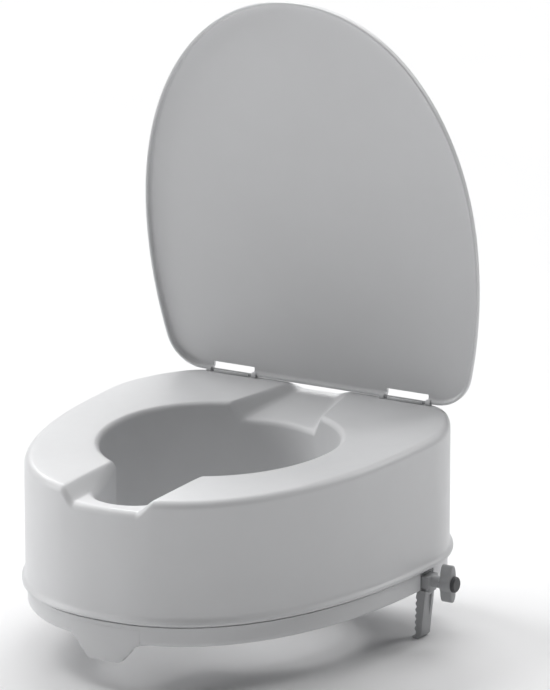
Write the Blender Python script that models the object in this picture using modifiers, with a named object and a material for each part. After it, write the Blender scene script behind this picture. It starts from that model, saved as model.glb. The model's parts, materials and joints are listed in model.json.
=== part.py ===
"""Raised toilet seat with a hinged lid and two side clamps, built in metres with +Z up.

The front of the seat is -Y, the rear is +Y and +X is the sitter's left. Z = 0 is the plane
that the feet of the two clamp arms reach. Every piece is its own object. The lid, the clamp
arms and the clamp knobs have their origins on the axes that they move about.
"""

import math

import bmesh
import bpy
import numpy as np
from mathutils import Matrix, Vector

# Heights
GROOVE_Z = 0.069  # seam between the seat shell and the base ring
BASE_Z = GROOVE_Z - 0.0216  # underside of the base ring
TOP_Z = GROOVE_Z + 0.1233  # seat surface at the middle of the body
TOP_SLOPE = 0.0201  # the seat surface rises towards the rear
SKIRT_Z = GROOVE_Z - 0.030  # lower edge of the splash skirt inside the opening
FIT = 0.0003  # gap between pieces that touch

# Body outline, in plan
HALF_WIDTH = 0.1815
WIDEST_Y = 0.100
REAR_Y = 0.203
FRONT_Y = -0.203
REAR_TAPER = 0.0467  # how much narrower the sides get towards the rear
REAR_CORNER = 0.0452
FRONT_POWER = 2.31  # exponent of the front's superellipse, 2 being an ellipse

# Bowl opening, in plan
OPENING_HALF = 0.112
OPENING_Y = 0.017  # where the opening is widest
OPENING_REAR = 0.105
OPENING_FRONT = 0.132
NOTCH_HALF = 0.046  # half width where the front notch leaves the oval
NOTCH_END_HALF = 0.033
NOTCH_END_Y = -0.156
NOTCH_TIP_Y = -0.181

# Front and rear recesses in the seat surface: half widths of floor and top
FRONT_FLOOR, FRONT_TOP = 0.033, 0.051
FRONT_DEPTH = 0.0125
REAR_FLOOR, REAR_TOP = (0.039, 0.0227), (0.050, 0.0394)  # at the opening, at the rear
REAR_DEPTH = (0.0165, 0.007)
REAR_RECESS_Y = (0.120, 0.179)

# Shell section
SHELL_WALL = 0.003
SHOULDER_RADIUS = 0.008
LIP_RADIUS = 0.006
FLARE = 0.0035  # the wall's foot stands out over the base ring
FLARE_STEPS = ((0.0004, 0.83), (0.0016, 1.0), (0.0060, 0.35), (0.0125, 0.0))  # height, share
SKIRT_DRAFT = 0.002

# Base ring section
RING_WALL = 0.0025
BAND_INSET = 0.0019
RING_CORNER = 0.005
TAB_TOP_HALF, TAB_FOOT_HALF, TAB_DEPTH = 0.0323, 0.0206, 0.0190

# Lid
HINGE_Y = 0.194
HINGE_Z = TOP_Z + TOP_SLOPE * HINGE_Y + 0.0017
LID_LENGTH = 0.390
LID_HALF = 0.1838
LID_WIDEST = 0.1466  # distance of the widest part from the axis
LID_TAPER = 0.0233
LID_CORNER = 0.039
LID_POWER = 2.10
LID_WALL = 0.003
LID_REAR = 0.0007  # the lid's rear edge stands this far behind its axis
LID_UNDER = 0.0013  # the rim's lower edge stands this far under the axis
LID_TOP = 0.0075
LID_EDGE_RADIUS = 0.0045
LID_CROWN = 0.003
LID_LEAN = math.radians(6.7)  # open lid, forward of vertical
SLOT_X = (0.0742, 0.1202)
SLOT_HEIGHT = 0.0068
KNUCKLE_LENGTH = 0.0045
KNUCKLE_RADIUS = 0.0032
PIN_RADIUS = 0.0017
CLIP_X = (0.0782, 0.1162)
TROUGH_RADIUS = 0.0037  # room for the knuckles in the seat surface

# Clamps
CLAMP_Y = 0.091
SCREW_Z = GROOVE_Z - 0.0120
SCREW_RADIUS = 0.003
THREAD_STEP = 0.004
JAW_X = (0.1742, 0.1830)
JAW_HALF = 0.0089
JAW_LEAN = (0.0018, 0.0048)  # how far inboard the foot's two faces stand of the top's
TEETH, TOOTH_PITCH, TOOTH_DEPTH = 6, 0.0062, 0.0014
KNOB_RADIUS = 0.0184
KNOB_WAIST = 0.0082
KNOB_X = (0.1964, 0.2084)
CAP_RADIUS = 0.0078
CAP_HEIGHT = 0.0035

# Clamp slideways: x is outboard, y from the clamp's middle and z from the screw's axis
GUIDE_X, GUIDE_HALF, GUIDE_Z = (0.1400, 0.1785), 0.0121, (-0.0084, 0.0076)
CHANNEL_HALF, CHANNEL_Z = 0.0096, (-0.0064, 0.0060)
MOUTH_HALF, MOUTH_Z = 0.0072, (-0.0100, 0.0)
FLANGE_X, FLANGE_HALF, FLANGE_WALL = (0.1440, 0.1700), 0.0206, 0.0026
GUIDE_BOSS_RADIUS, GUIDE_BOSS_HEIGHT, GUIDE_HOLE_RADIUS = 0.0036, 0.008, 0.0018
GUIDE_SCREW_X = 0.157
GUIDE_SCREW_Y = (CLAMP_Y - 0.0168, CLAMP_Y + 0.0168)
NUT_X, NUT_FLATS = (0.1416, 0.1470), 0.010
HOUSING_X, HOUSING_HALF, HOUSING_Z = (0.1404, 0.1512), 0.0062, (-0.0064, 0.0066)
HEAD_X, HEAD_HALF, HEAD_Z = (0.1740, 0.1862), 0.0092, (-0.0060, 0.0057)
STEM_HALF = 0.0066
NECK_RADIUS, NECK_END = 0.0057, 0.1946
PRONG_END, PRONG_INNER_HALF = 0.1380, 0.0068
PANEL_TOP, PANEL_FOOT, PANEL_DEPTH = -0.0140, -0.0470, 0.0030  # sunk in the jaw's outer face
PANEL_HALF = (0.0052, 0.0040)  # at its top, at its foot
TRAVEL = 0.011  # how far the arm slides inwards before the knob's wings meet the shell
WINDOW_INNER = PRONG_END - TRAVEL - 0.0012
WINDOW_HALF, WINDOW_OUTER, WINDOW_HEAD = 0.0125, 0.1900, 0.0030

# Screws and their holes
BOSS_RADIUS, BOSS_HOLE_RADIUS, BOSS_HOLE_DEPTH = 0.0052, 0.0024, 0.018
BASE_HOLE_RADIUS, GUIDE_CLEARANCE_RADIUS = 0.0026, 0.0019
SCREW_HEAD_HEIGHT = 0.0022
BASE_SCREW = (0.0042, 0.0020, 0.018)  # head radius, shank radius, shank length
GUIDE_SCREW = (0.0030, 0.0014, 0.008)
BASE_SCREWS = [(0.135, 0.149), (0.147, -0.006), (0.084, -0.128)]

# Rim pads: x, y and the turn of the long side in degrees
RIM_PADS = [(0.148, 0.036, 94.0), (0.114, -0.086, 55.0), (0.078, 0.168, 0.0)]
PAD_STRAIGHT, PAD_RADIUS, PAD_HEIGHT = 0.014, 0.006, 0.004

WHITE = (0.86, 0.865, 0.875, 1.0)
GREY = (0.30, 0.31, 0.32, 1.0)
DARK_GREY = (0.10, 0.10, 0.11, 1.0)
STEEL = (0.62, 0.63, 0.65, 1.0)
RUBBER = (0.16, 0.16, 0.17, 1.0)

# Half stations round an outline, between the edges of the rear and the front recess
STATIONS = (2, 3, 27, 4, 3)


def clear_scene():
    for obj in list(bpy.data.objects):
        bpy.data.objects.remove(obj)


def new_collection(name):
    made = bpy.data.collections.new(name)
    bpy.context.scene.collection.children.link(made)
    return made


def new_material(name, colour, roughness, metallic=0.0):
    material = bpy.data.materials.new(name)
    material.use_nodes = True
    shader = material.node_tree.nodes["Principled BSDF"]
    shader.inputs["Base Color"].default_value = colour
    shader.inputs["Roughness"].default_value = roughness
    shader.inputs["Metallic"].default_value = metallic
    material.diffuse_color = colour
    return material


clear_scene()
PARTS = new_collection("raised_toilet_seat")
CUTTERS = new_collection("cutters")


# ---------------------------------------------------------------- small building helpers


def object_from(name, bm, look=None, place=(0, 0, 0)):
    """Object of a bmesh whose points are in world space, with its origin moved to place."""
    bm.normal_update()
    bmesh.ops.recalc_face_normals(bm, faces=bm.faces)
    bm.transform(Matrix.Translation(-Vector(place)))
    mesh = bpy.data.meshes.new(name)
    bm.to_mesh(mesh)
    bm.free()
    mesh.shade_smooth()
    mesh.set_sharp_from_angle(angle=math.radians(35))
    obj = bpy.data.objects.new(name, mesh)
    obj.location = place
    if look is None:
        CUTTERS.objects.link(obj)
        obj.hide_render = True
        obj.display_type = "WIRE"
    else:
        mesh.materials.append(look)
        PARTS.objects.link(obj)
    return obj


def block(low, high):
    """Bmesh box between two corners, given in either order along each axis."""
    low, high = Vector(low), Vector(high)
    size = Vector([abs(b - a) for a, b in zip(low, high)])
    bm = bmesh.new()
    place = Matrix.Translation((low + high) / 2) @ Matrix.Diagonal((*size, 1.0))
    bmesh.ops.create_cube(bm, size=1.0, matrix=place)
    return bm


def rod(start, end, radius, segments=16):
    """Bmesh cylinder from start to end, with flat ends."""
    start, end = Vector(start), Vector(end)
    along = end - start
    turn = along.to_track_quat("Z", "Y").to_matrix().to_4x4()
    bm = bmesh.new()
    bmesh.ops.create_cone(
        bm,
        cap_ends=True,
        segments=segments,
        radius1=radius,
        radius2=radius,
        depth=along.length,
        matrix=Matrix.Translation((start + end) / 2) @ turn,
    )
    return bm


def upright(x, y, z_range, radius):
    return rod((x, y, z_range[0]), (x, y, z_range[1]), radius, 12)


def prism(points, axis, low, high):
    """Bmesh of a flat outline swept from low to high along axis 0, 1 or 2."""
    others = [i for i in range(3) if i != axis]
    bm = bmesh.new()
    verts = []
    for a, b in points:
        spot = [0.0, 0.0, 0.0]
        spot[axis] = low
        spot[others[0]] = a
        spot[others[1]] = b
        verts.append(bm.verts.new(spot))
    base = bm.faces.new(verts)
    swept = bmesh.ops.extrude_face_region(bm, geom=[base])
    shift = Vector([high - low if i == axis else 0.0 for i in range(3)])
    moved = [item for item in swept["geom"] if isinstance(item, bmesh.types.BMVert)]
    bmesh.ops.translate(bm, verts=moved, vec=shift)
    return bm


def add_boolean(target, bm, operation):
    """Live Boolean with a helper that turns with its target, given while that is unturned."""
    other = object_from(f"{target.name}_{operation.lower()}", bm)
    other.parent = target
    other.matrix_parent_inverse = target.matrix_basis.inverted()
    modifier = target.modifiers.new(other.name, "BOOLEAN")
    modifier.operation = operation
    modifier.solver = "EXACT"
    modifier.object = other


def fuse(target, *pieces):
    for bm in pieces:
        add_boolean(target, bm, "UNION")


def cut(target, *pieces):
    for bm in pieces:
        add_boolean(target, bm, "DIFFERENCE")


def solidify(obj, thickness):
    modifier = obj.modifiers.new("Wall", "SOLIDIFY")
    modifier.thickness = thickness
    modifier.offset = -1.0
    modifier.use_even_offset = True


def mirror_x(obj):
    modifier = obj.modifiers.new("Mirror", "MIRROR")
    modifier.use_axis = (True, False, False)
    modifier.merge_threshold = 0.0001


def turned(name, profile, look, place, axis_turn=None, steps=20):
    """Turned piece: a profile of (radius, height) run round local Z, outer side top to bottom."""
    bm = bmesh.new()
    verts = [bm.verts.new((radius, 0.0, height)) for radius, height in profile]
    for first, second in zip(verts, verts[1:]):
        bm.edges.new((first, second))
    mesh = bpy.data.meshes.new(name)
    bm.to_mesh(mesh)
    bm.free()
    mesh.materials.append(look)
    obj = bpy.data.objects.new(name, mesh)
    obj.location = place
    if axis_turn:
        obj.rotation_euler = axis_turn
    screw = obj.modifiers.new("Screw", "SCREW")
    screw.axis = "Z"
    screw.steps = steps
    screw.render_steps = steps
    screw.use_merge_vertices = True
    screw.merge_threshold = 0.0001
    PARTS.objects.link(obj)
    return obj


# ---------------------------------------------------------------- outlines and heights


def d_half_outline(half, front, rear, widest, taper, corner, power):
    """Right half of a D-shaped plan, closely sampled from the rear centre to the front tip."""
    span = rear - widest
    tangent_y = rear - corner
    for _ in range(8):  # where the corner arc meets the tapering side
        slope = math.atan(2 * taper * (tangent_y - widest) / span**2)
        tangent_y = rear - corner + corner * math.sin(slope)
    side_x = half - taper * ((tangent_y - widest) / span) ** 2
    centre_x, centre_y = side_x - corner * math.cos(slope), rear - corner
    points = [(x, rear) for x in np.linspace(0.0, centre_x, 60)[:-1]]
    for angle in np.linspace(math.pi / 2, slope, 60)[:-1]:
        points.append((centre_x + corner * math.cos(angle), centre_y + corner * math.sin(angle)))
    for y in np.linspace(tangent_y, widest, 60)[:-1]:
        points.append((half - taper * ((y - widest) / span) ** 2, y))
    for angle in np.linspace(0.0, math.pi / 2, 240):
        across = abs(math.cos(angle)) ** (2 / power)
        ahead = math.sin(angle) ** (2 / power)
        points.append((half * across, widest + (front - widest) * ahead))
    points[-1] = (0.0, front)
    return np.array(points)


def opening_half_outline():
    """Right half of the bowl opening: an oval that runs into a narrower notch at the front."""
    points = []
    for angle in np.linspace(math.pi / 2, 0.0, 120)[:-1]:
        points.append((OPENING_HALF * math.cos(angle), OPENING_Y + OPENING_REAR * math.sin(angle)))
    meeting = math.acos(NOTCH_HALF / OPENING_HALF)
    for angle in np.linspace(0.0, meeting, 120)[:-1]:
        points.append((OPENING_HALF * math.cos(angle), OPENING_Y - OPENING_FRONT * math.sin(angle)))
    corner_y = OPENING_Y - OPENING_FRONT * math.sin(meeting)
    for part in np.linspace(0.0, 1.0, 40)[:-1]:
        narrowed = NOTCH_HALF + (NOTCH_END_HALF - NOTCH_HALF) * part
        points.append((narrowed, corner_y + (NOTCH_END_Y - corner_y) * part))
    for angle in np.linspace(0.0, math.pi / 2, 40):
        ahead = (NOTCH_TIP_Y - NOTCH_END_Y) * math.sin(angle)
        points.append((NOTCH_END_HALF * math.cos(angle), NOTCH_END_Y + ahead))
    points[0] = (0.0, OPENING_Y + OPENING_REAR)
    points[-1] = (0.0, NOTCH_TIP_Y)
    return np.array(points)


def lengths_along(points):
    steps = np.linalg.norm(np.diff(points, axis=0), axis=1)
    return np.concatenate([[0.0], np.cumsum(steps)])


def station_points(points, rear_keys, front_keys):
    """Points of a half outline at the stations, so that both recesses' edges lie on mesh lines."""
    along = lengths_along(points)
    turn = int(np.argmax(points[:, 0]))
    keys = [0.0]
    for key in rear_keys:
        keys.append(float(np.interp(key, points[:turn, 0], along[:turn])))
    for key in front_keys:
        keys.append(float(np.interp(-key, -points[turn:, 0], along[turn:])))
    keys.append(along[-1])
    stations = [0.0]
    for start, end, count in zip(keys, keys[1:], STATIONS):
        stations.extend(np.linspace(start, end, count + 1)[1:])
    return np.column_stack([np.interp(stations, along, points[:, i]) for i in (0, 1)])


def outward(points):
    """Offset directions of a half outline's stations, long enough that an offset stays parallel."""
    whole = np.vstack([points[1] * (-1, 1), points, points[-2] * (-1, 1)])
    tangent = np.diff(whole, axis=0)
    normal = np.column_stack([-tangent[:, 1], tangent[:, 0]])
    normal /= np.linalg.norm(normal, axis=1)[:, None]
    before, after = normal[:-1], normal[1:]
    return (before + after) / (1 + np.sum(before * after, axis=1))[:, None]


def smooth(value):
    value = min(max(value, 0.0), 1.0)
    return value * value * (3 - 2 * value)


def seat_height(x, y):
    """Height of the seat surface, with the front and the rear recess sunk in it."""
    height = TOP_Z + TOP_SLOPE * y
    across = abs(x)
    if y < 0:
        return height - FRONT_DEPTH * smooth((FRONT_TOP - across) / (FRONT_TOP - FRONT_FLOOR))
    if y > OPENING_Y + 0.5 * OPENING_REAR:
        part = (y - REAR_RECESS_Y[0]) / (REAR_RECESS_Y[1] - REAR_RECESS_Y[0])
        floor = REAR_FLOOR[0] + (REAR_FLOOR[1] - REAR_FLOOR[0]) * part
        top = REAR_TOP[0] + (REAR_TOP[1] - REAR_TOP[0]) * part
        depth = REAR_DEPTH[0] + (REAR_DEPTH[1] - REAR_DEPTH[0]) * part
        return height - depth * smooth((top - across) / (top - floor))
    return height


def half_skin(name, rings, look, place=(0, 0, 0), tip=None):
    """Open skin through half rings of (x, y, z) points; its ends lie on the plane X = 0."""
    bm = bmesh.new()
    rows = []
    for ring in rings:
        row = [bm.verts.new(spot) for spot in ring]
        row[0].co.x = 0.0
        row[-1].co.x = 0.0
        rows.append(row)
    for upper, lower in zip(rows, rows[1:]):
        for i in range(len(upper) - 1):
            bm.faces.new((upper[i], lower[i], lower[i + 1], upper[i + 1]))
    if tip is not None:
        centre = bm.verts.new(tip)
        for i in range(len(rows[-1]) - 1):
            bm.faces.new((rows[-1][i], centre, rows[-1][i + 1]))
    bm.transform(Matrix.Translation(-Vector(place)))
    mesh = bpy.data.meshes.new(name)
    bm.to_mesh(mesh)
    bm.free()
    mesh.shade_smooth()
    mesh.set_sharp_from_angle(angle=math.radians(40))
    mesh.materials.append(look)
    obj = bpy.data.objects.new(name, mesh)
    obj.location = place
    PARTS.objects.link(obj)
    mirror_x(obj)
    return obj


def level_ring(points, normals, offset, z):
    return [(x, y, z) for x, y in points + normals * offset]


def draped_ring(plan, drop):
    return [(x, y, seat_height(x, y) - drop) for x, y in plan]


# ---------------------------------------------------------------- seat shell and base ring

BODY = station_points(
    d_half_outline(
        HALF_WIDTH, FRONT_Y, REAR_Y, WIDEST_Y, REAR_TAPER, REAR_CORNER, FRONT_POWER
    ),
    (REAR_FLOOR[1], REAR_TOP[1]),
    (FRONT_TOP, FRONT_FLOOR),
)
BODY_OUT = outward(BODY)
OPENING = station_points(
    opening_half_outline(), (REAR_FLOOR[0], REAR_TOP[0]), (NOTCH_HALF, NOTCH_END_HALF)
)
OPENING_OUT = outward(OPENING)


def build_seat_shell(look):
    rings = []
    for rise, share in FLARE_STEPS:
        rings.append(level_ring(BODY, BODY_OUT, FLARE * share, GROOVE_Z + rise))
    for step in range(5):
        angle = math.radians(22.5 * step)
        plan = BODY - BODY_OUT * SHOULDER_RADIUS * (1 - math.cos(angle))
        rings.append(draped_ring(plan, SHOULDER_RADIUS * (1 - math.sin(angle))))
    shoulder = BODY - BODY_OUT * SHOULDER_RADIUS
    inner = OPENING + OPENING_OUT * LIP_RADIUS
    for part in (0.25, 0.5, 0.75):
        rings.append(draped_ring(shoulder + (inner - shoulder) * part, 0.0))
    for step in range(3, -1, -1):
        angle = math.radians(30 * step)
        plan = OPENING + OPENING_OUT * LIP_RADIUS * (1 - math.cos(angle))
        rings.append(draped_ring(plan, LIP_RADIUS * (1 - math.sin(angle))))
    rings.append(level_ring(OPENING, OPENING_OUT, -SKIRT_DRAFT / 2, GROOVE_Z + 0.030))
    rings.append(level_ring(OPENING, OPENING_OUT, -SKIRT_DRAFT, SKIRT_Z))
    shell = half_skin("seat_shell", rings, look)
    solidify(shell, SHELL_WALL)
    for side in (-1, 1):
        for x, y in BASE_SCREWS:
            boss_top = seat_height(x, y) - SHELL_WALL / 2
            boss_foot = BASE_Z + RING_WALL + FIT
            fuse(shell, upright(side * x, y, (boss_foot, boss_top), BOSS_RADIUS))
            hole = (boss_foot - 0.010, boss_foot + BOSS_HOLE_DEPTH)
            cut(shell, upright(side * x, y, hole, BOSS_HOLE_RADIUS))
        low = (side * (CLIP_X[0] - FIT), HINGE_Y - 0.0023, HINGE_Z - 0.020)
        high = (side * (CLIP_X[1] + FIT), HINGE_Y + 0.0023, HINGE_Z + 0.005)
        reach = KNUCKLE_LENGTH + 0.0008
        trough_start = (side * (SLOT_X[0] - reach), HINGE_Y, HINGE_Z)
        trough_end = (side * (SLOT_X[1] + reach), HINGE_Y, HINGE_Z)
        trough = rod(trough_start, trough_end, TROUGH_RADIUS)
        cut(shell, block(low, high), trough)
    return shell


def build_base_ring(look):
    inner = SHELL_WALL + 0.0008
    rings = [
        level_ring(OPENING, OPENING_OUT, inner, GROOVE_Z - 0.003),
        level_ring(OPENING, OPENING_OUT, inner, BASE_Z + 0.002),
        level_ring(OPENING, OPENING_OUT, inner + 0.002, BASE_Z),
        level_ring(BODY, BODY_OUT, -BAND_INSET - RING_CORNER, BASE_Z),
        level_ring(BODY, BODY_OUT, -BAND_INSET - 0.3 * RING_CORNER, BASE_Z + 0.3 * RING_CORNER),
        level_ring(BODY, BODY_OUT, -BAND_INSET, BASE_Z + RING_CORNER),
        level_ring(BODY, BODY_OUT, -BAND_INSET, GROOVE_Z - 0.0014),
        level_ring(BODY, BODY_OUT, -SHELL_WALL - 0.0006, GROOVE_Z - 0.0010),
        level_ring(BODY, BODY_OUT, -SHELL_WALL - 0.0006, GROOVE_Z + 0.0085),
    ]
    ring = half_skin("base_ring", rings, look)
    solidify(ring, RING_WALL)
    fuse(ring, front_tab())
    window_foot = BASE_Z - 0.006
    for side in (-1, 1):
        cut(
            ring,
            block(
                (side * WINDOW_INNER, CLAMP_Y - WINDOW_HALF, window_foot),
                (side * WINDOW_OUTER, CLAMP_Y + WINDOW_HALF, GROOVE_Z - WINDOW_HEAD),
            ),
        )
        for x, y in BASE_SCREWS:
            cut(ring, upright(side * x, y, (window_foot, BASE_Z + 0.006), BASE_HOLE_RADIUS))
        for y in GUIDE_SCREW_Y:
            hole = (window_foot, BASE_Z + 0.006)
            cut(ring, upright(side * GUIDE_SCREW_X, y, hole, GUIDE_CLEARANCE_RADIUS))
    return ring


def front_tab():
    """Tongue under the front of the base ring: a curved plate, wide above and narrow below."""
    bm = bmesh.new()
    columns = 14
    rows = []
    for y_inset in (BAND_INSET - 0.0003, BAND_INSET + 0.0048):
        for z_part in (0.0, 0.5, 1.0):
            row = []
            for i in range(columns + 1):
                spread = 2 * i / columns - 1
                half = TAB_TOP_HALF + (TAB_FOOT_HALF - TAB_TOP_HALF) * z_part
                x = spread * half
                ahead = (1 - (abs(x) / HALF_WIDTH) ** FRONT_POWER) ** (1 / FRONT_POWER)
                front = WIDEST_Y + (FRONT_Y - WIDEST_Y) * ahead
                rounding = 0.004 * smooth(abs(spread) * 4 - 3) * z_part
                z = BASE_Z + 0.003 - (TAB_DEPTH + 0.003) * z_part + rounding
                row.append(bm.verts.new((x, front + y_inset, z)))
            rows.append(row)
    face, back = rows[:3], rows[3:]
    loop_rows = face + back[::-1]
    for upper, lower in zip(loop_rows, loop_rows[1:] + loop_rows[:1]):
        for i in range(columns):
            bm.faces.new((upper[i], upper[i + 1], lower[i + 1], lower[i]))
    for end in (0, columns):
        bm.faces.new([row[end] for row in loop_rows])
    return bm


# ---------------------------------------------------------------- lid and hinges


def lid_point(x, along, height):
    """World place of a lid point in the closed lid's directions, with the lid laid level."""
    return (x, HINGE_Y - along, HINGE_Z + height)


def build_lid(look):
    outline = d_half_outline(
        LID_HALF, -LID_LENGTH, LID_REAR, -LID_WIDEST, LID_TAPER, LID_CORNER, LID_POWER
    )
    lid_plan = station_points(outline, (0.05, 0.10), (0.075, 0.030))
    lid_out = outward(lid_plan)
    centre = np.array([0.0, -0.175])

    def ring(plan, height):
        return [lid_point(x, -y, height) for x, y in plan]

    rings = [ring(lid_plan, -LID_UNDER), ring(lid_plan, LID_TOP - LID_EDGE_RADIUS)]
    for step in (1, 2, 3):
        angle = math.radians(30 * step)
        inset = LID_EDGE_RADIUS * (1 - math.cos(angle))
        rise = LID_TOP - LID_EDGE_RADIUS * (1 - math.sin(angle))
        rings.append(ring(lid_plan - lid_out * inset, rise))
    edge = lid_plan - lid_out * LID_EDGE_RADIUS
    for part in (0.85, 0.45):
        rings.append(ring(centre + (edge - centre) * part, LID_TOP + LID_CROWN * (1 - part**2)))
    axis = (0.0, HINGE_Y, HINGE_Z)
    tip = lid_point(0.0, 0.175, LID_TOP + LID_CROWN)
    lid = half_skin("lid", rings, look, place=axis, tip=tip)
    solidify(lid, LID_WALL)
    for side in (-1, 1):
        for end in (SLOT_X[0] - KNUCKLE_LENGTH, SLOT_X[1]):
            fuse(
                lid,
                rod(
                    (side * end, HINGE_Y, HINGE_Z),
                    (side * (end + KNUCKLE_LENGTH), HINGE_Y, HINGE_Z),
                    KNUCKLE_RADIUS,
                    16,
                ),
            )
        cut(
            lid,
            block(
                lid_point(side * SLOT_X[0], -0.008, -0.012),
                lid_point(side * SLOT_X[1], SLOT_HEIGHT, 0.020),
            ),
            rod(
                (side * (SLOT_X[0] - KNUCKLE_LENGTH - 0.001), HINGE_Y, HINGE_Z),
                (side * (SLOT_X[1] + KNUCKLE_LENGTH + 0.001), HINGE_Y, HINGE_Z),
                PIN_RADIUS + FIT,
                12,
            ),
        )
    return lid


def build_hinge(side, name, clip_look, pin_look):
    """Pin through the lid's knuckles, and the clip on the seat shell that cradles it."""
    start = SLOT_X[0] - KNUCKLE_LENGTH + 0.0003
    end = SLOT_X[1] + KNUCKLE_LENGTH - 0.0003
    length = end - start
    chamfer = 0.0004
    pin = turned(
        f"hinge_pin_{name}",
        [
            (0.0, length / 2),
            (PIN_RADIUS - chamfer, length / 2),
            (PIN_RADIUS, length / 2 - chamfer),
            (PIN_RADIUS, chamfer - length / 2),
            (PIN_RADIUS - chamfer, -length / 2),
            (0.0, -length / 2),
        ],
        pin_look,
        (side * (start + end) / 2, HINGE_Y, HINGE_Z),
        (0.0, math.pi / 2, 0.0),
        12,
    )
    low_x, high_x = side * CLIP_X[0], side * CLIP_X[1]
    clip = object_from(
        f"hinge_clip_{name}",
        rod((low_x, HINGE_Y, HINGE_Z), (high_x, HINGE_Y, HINGE_Z), KNUCKLE_RADIUS, 16),
        clip_look,
    )
    for half, foot, top in ((0.0020, 0.0092, 0.0024), (0.0031, 0.0086, 0.0062)):  # stem, flange
        low = (low_x, HINGE_Y - half, HINGE_Z - foot)
        fuse(clip, block(low, (high_x, HINGE_Y + half, HINGE_Z - top)))
    bore_start, bore_end = (low_x * 0.9, HINGE_Y, HINGE_Z), (high_x * 1.1, HINGE_Y, HINGE_Z)
    cut(
        clip,
        rod(bore_start, bore_end, PIN_RADIUS + FIT, 12),
        block(
            (low_x * 0.9, HINGE_Y - 0.010, HINGE_Z + 0.0009),
            (high_x * 1.1, HINGE_Y + 0.010, HINGE_Z + 0.0100),
        ),
    )
    return pin, clip


# ---------------------------------------------------------------- clamps

def clamp_block(side, x, y, z):
    """Box from ranges: x outboard, y about the clamp's middle and z about the screw's axis."""
    return block(
        (side * x[0], CLAMP_Y + y[0], SCREW_Z + z[0]),
        (side * x[1], CLAMP_Y + y[1], SCREW_Z + z[1]),
    )


def clamp_rod(side, x, radius, segments=16):
    return rod((side * x[0], CLAMP_Y, SCREW_Z), (side * x[1], CLAMP_Y, SCREW_Z), radius, segments)


def hexagon(flats, turn=0.0):
    radius = flats / math.sqrt(3)
    corners = [turn + math.radians(60 * i) for i in range(6)]
    return [(CLAMP_Y + radius * math.sin(a), SCREW_Z + radius * math.cos(a)) for a in corners]


def build_guide(side, name, look):
    """Slideway in the base ring's side: open below, with ledges that carry the arm's prongs."""
    body = clamp_block(side, GUIDE_X, (-GUIDE_HALF, GUIDE_HALF), GUIDE_Z)
    guide = object_from(f"clamp_guide_{name}", body, look)
    flange_z = BASE_Z + RING_WALL + FIT - SCREW_Z
    flange = (flange_z, flange_z + FLANGE_WALL)
    fuse(guide, clamp_block(side, FLANGE_X, (-FLANGE_HALF, FLANGE_HALF), flange))
    foot = SCREW_Z + flange_z + 0.001
    for y in GUIDE_SCREW_Y:
        boss = (foot, foot + GUIDE_BOSS_HEIGHT)
        fuse(guide, upright(side * GUIDE_SCREW_X, y, boss, GUIDE_BOSS_RADIUS))
        hole = (foot - 0.006, foot + 0.006)
        cut(guide, upright(side * GUIDE_SCREW_X, y, hole, GUIDE_HOLE_RADIUS))
    long_x = (GUIDE_X[0] - 0.004, GUIDE_X[1] + 0.004)
    cut(
        guide,
        clamp_block(side, long_x, (-CHANNEL_HALF, CHANNEL_HALF), CHANNEL_Z),
        clamp_block(side, long_x, (-MOUTH_HALF, MOUTH_HALF), MOUTH_Z),
    )
    fuse(guide, clamp_block(side, HOUSING_X, (-HOUSING_HALF, HOUSING_HALF), HOUSING_Z))
    pocket = prism(hexagon(NUT_FLATS + 2 * FIT), 0, side * 0.136, side * (NUT_X[1] + FIT))
    cut(guide, pocket, clamp_rod(side, (0.136, 0.156), SCREW_RADIUS + 0.0005))
    return guide


def build_nut(side, name, look):
    nut = object_from(
        f"clamp_nut_{name}", prism(hexagon(NUT_FLATS), 0, side * NUT_X[0], side * NUT_X[1]), look
    )
    cut(nut, clamp_rod(side, (NUT_X[0] - 0.003, NUT_X[1] + 0.003), SCREW_RADIUS + FIT))
    return nut


def jaw_outline(side):
    """Side view of the hanging jaw: teeth towards the bowl, a hooked foot, a plain outer face."""
    top, foot = -0.0088, -SCREW_Z
    inner_top, outer_top = JAW_X
    inner_foot, outer_foot = inner_top - JAW_LEAN[0], outer_top - JAW_LEAN[1]
    slope = JAW_LEAN[0] / (top - foot)
    hook = inner_foot - 0.0032
    points = [
        (outer_top, top),
        (outer_foot, foot + 0.003),
        (outer_foot - 0.003, foot),
        (hook, foot),
        (hook - 0.0004, foot + 0.0020),
        (inner_foot, foot + 0.0044),
    ]
    for i in range(TEETH):
        low = foot + 0.0070 + i * TOOTH_PITCH
        for part, out in ((0.0, 0.0), (0.4, TOOTH_DEPTH), (0.6, TOOTH_DEPTH)):
            z = low + part * TOOTH_PITCH
            points.append((inner_top - slope * (top - z) - out, z))
    points.append((inner_top, top))
    return [(side * x, SCREW_Z + z) for x, z in points]


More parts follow.
